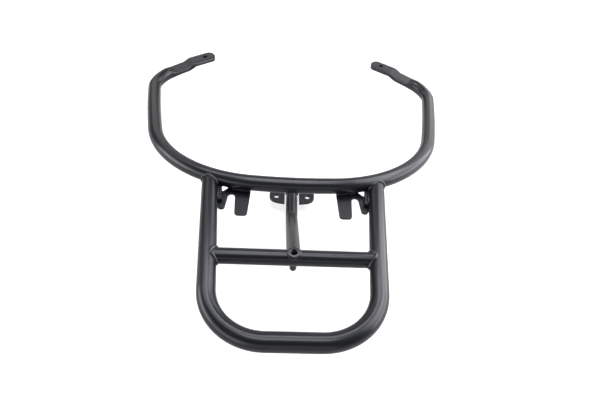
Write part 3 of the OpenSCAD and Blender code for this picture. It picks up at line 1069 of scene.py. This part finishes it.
@dataclass
class Studio:
    """The floor, the light and the camera."""

    floor_z_mm: float = -68.4
    floor_half_m: float = 4.0
    eye_mm: tuple[float, float, float] = (-20.484, -302.202, 403.745)
    yaw: float = 0.0717
    pitch: float = 0.8007
    roll: float = -0.0891
    lens_mm: float = 27.464
    surround: float = 0.02
    paper_glow: float = 0.66
    gloss_share: float = 0.12
    aim_m: tuple[float, float, float] = (0.0, 0.12, 0.0)
    glow_from_m: float = 0.6
    glow_full_m: float = 1.6

    def floor(self) -> None:
        """Lays the pale floor, which stays white to the eye and keeps a soft shadow."""
        mesh = bpy.data.meshes.new("studio_floor")
        half, z = self.floor_half_m, self.floor_z_mm * MM
        mesh.from_pydata([(-half, -half, z), (half, -half, z), (half, half, z), (-half, half, z)],
                         [], [(0, 1, 2, 3)])
        floor = bpy.data.objects.new("studio_floor", mesh)
        bpy.context.scene.collection.objects.link(floor)
        mat = bpy.data.materials.new("white_paper_sweep")
        mat.use_nodes = True
        tree = mat.node_tree
        tree.nodes.clear()
        path = add_node(tree, "ShaderNodeLightPath")
        paper = add_node(tree, "ShaderNodeBsdfDiffuse", {"in:Color": linear("c8c8c8")})
        # Far from the rack the paper glows fully, so that it runs into the white surround.
        reach = add_node(tree, "ShaderNodeVectorMath", {"operation": "LENGTH"}, {
            "0": add_node(tree, "ShaderNodeTexCoord").outputs["Object"]})
        level = add_node(tree, "ShaderNodeMapRange", {
            "interpolation_type": "SMOOTHSTEP", "in:From Min": self.glow_from_m,
            "in:From Max": self.glow_full_m, "in:To Min": self.paper_glow, "in:To Max": 1.0},
            {"Value": reach.outputs["Value"]})
        glow = add_node(tree, "ShaderNodeEmission", {"in:Color": (1, 1, 1, 1)},
                        {"Strength": level.outputs["Result"]})
        seen = seen_share(tree, path, self.gloss_share)
        lit = add_node(tree, "ShaderNodeAddShader")
        tree.links.new(paper.outputs["BSDF"], lit.inputs[0])
        tree.links.new(glow.outputs["Emission"], lit.inputs[1])
        mix = add_node(tree, "ShaderNodeMixShader", links={"Fac": seen})
        tree.links.new(paper.outputs["BSDF"], mix.inputs[1])
        tree.links.new(lit.outputs["Shader"], mix.inputs[2])
        add_node(tree, "ShaderNodeOutputMaterial", links={"Surface": mix.outputs["Shader"]})
        mesh.materials.append(mat)

    def world(self) -> None:
        """Sets the white surround: full white to the eye, dim as a light on the rack."""
        world = bpy.data.worlds.new("white_surround")
        bpy.context.scene.world = world
        world.use_nodes = True
        tree = world.node_tree
        tree.nodes.clear()
        path = add_node(tree, "ShaderNodeLightPath")
        power = add_node(tree, "ShaderNodeMapRange", {"in:To Min": self.surround, "in:To Max": 1.0},
                         {"Value": seen_share(tree, path, self.gloss_share)})
        sky = add_node(tree, "ShaderNodeBackground", {"in:Color": (1, 1, 1, 1)},
                       {"Strength": power.outputs["Result"]})
        add_node(tree, "ShaderNodeOutputWorld", links={"Surface": sky.outputs["Background"]})

    def lamp(self, name: str, place: tuple[float, float, float], size: tuple[float, float],
             watts: float) -> None:
        """Hangs one soft rectangular lamp that faces the rack.

        Args:
            name: The lamp's name.
            place: Where it hangs, in metres.
            size: Its width and height, in metres.
            watts: Its power.
        """
        data = bpy.data.lights.new(name, "AREA")
        data.shape = "RECTANGLE"
        data.size, data.size_y = size
        data.energy = watts
        lamp = bpy.data.objects.new(name, data)
        lamp.location = place
        way = Vector(self.aim_m) - Vector(place)
        lamp.rotation_euler = way.to_track_quat("-Z", "Y").to_euler()
        lamp.visible_camera = False
        bpy.context.scene.collection.objects.link(lamp)

    def lamps(self) -> None:
        """Hangs the soft panels all round and the strips close to the rack."""
        self.lamp("panel_top", (0.0, 0.12, 2.2), (1.0, 1.0), 12.0)
        self.lamp("panel_far_left_high", (-0.682, 0.802, 1.977), (0.8, 1.0), 3.6)
        self.lamp("panel_far_right", (1.226, 1.346, 1.354), (1.4, 1.0), 4.2)
        self.lamp("panel_far_left", (-1.226, 1.346, 1.354), (1.4, 1.0), 3.0)
        self.lamp("panel_far_right_low", (1.522, 1.642, 0.457), (1.7, 1.0), 7.5)
        self.lamp("panel_right_low", (1.5, 0.25, 0.22), (1.6, 0.5), 9.0)
        self.lamp("panel_left_low", (-2.152, 0.12, 0.457), (1.7, 1.0), 18.5)
        self.lamp("panel_near_left_low", (-1.522, -1.402, 0.457), (1.7, 1.0), 10.5)
        self.lamp("panel_near_low", (0.0, -2.032, 0.457), (1.7, 1.0), 3.5)
        self.lamp("strip_over", (0.0, 0.45, 0.75), (0.4, 0.2), 1.5)
        self.lamp("strip_over_left", (-0.4, 0.45, 0.75), (0.4, 0.2), 0.5)
        self.lamp("strip_right", (0.55, 0.15, 0.30), (0.7, 0.35), 2.1)
        self.lamp("strip_right_high", (0.40, 0.25, 0.50), (0.6, 0.3), 2.2)
        self.lamp("strip_far_low", (0.0, 0.95, 0.25), (1.2, 0.3), 0.8)

    def camera(self) -> None:
        """Sets the camera at the photograph's angle."""
        cy, sy = math.cos(self.yaw), math.sin(self.yaw)
        cp, sp = math.cos(self.pitch), math.sin(self.pitch)
        ahead = Vector((sy * cp, cy * cp, -sp))
        right = Vector((cy, -sy, 0.0))
        down = ahead.cross(right)
        c, s = math.cos(self.roll), math.sin(self.roll)
        row_x = c * right + s * down
        row_y = -s * right + c * down
        turn = Matrix((row_x, -row_y, -ahead)).transposed().to_4x4()
        data = bpy.data.cameras.new("photo_camera")
        data.sensor_fit = "HORIZONTAL"
        data.sensor_width = 36.0
        data.lens = self.lens_mm
        data.clip_start = 0.01
        cam = bpy.data.objects.new("photo_camera", data)
        cam.matrix_world = Matrix.Translation(Vector(self.eye_mm) * MM) @ turn
        bpy.context.scene.collection.objects.link(cam)
        bpy.context.scene.camera = cam

    def build(self) -> None:
        """Builds the whole studio."""
        self.camera()
        self.floor()
        self.world()
        self.lamps()
        bpy.context.scene.view_settings.view_transform = "Standard"
        LOG.info("studio: camera, floor, surround and lamps set")


def main() -> None:
    """Dresses the rack and sets the scene around it."""
    logging.basicConfig(level=logging.INFO, format="%(message)s")
    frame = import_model()
    Studio().build()
    materials = {surface: finish.material() for surface, finish in FINISHES.items()}
    Coater(frame).run(materials)
    GrabHoop(RackSizes()).build(materials[Surface.TUBE])
    CentreBoss(RackSizes()).build(materials[Surface.TUBE])
    StrutTube(RackSizes()).build(materials[Surface.TUBE])
    PlateWork(frame).run(materials[Surface.PLATE])
    Welder(RackSizes()).run(materials[Surface.WELD])


if __name__ == "__main__":
    main()
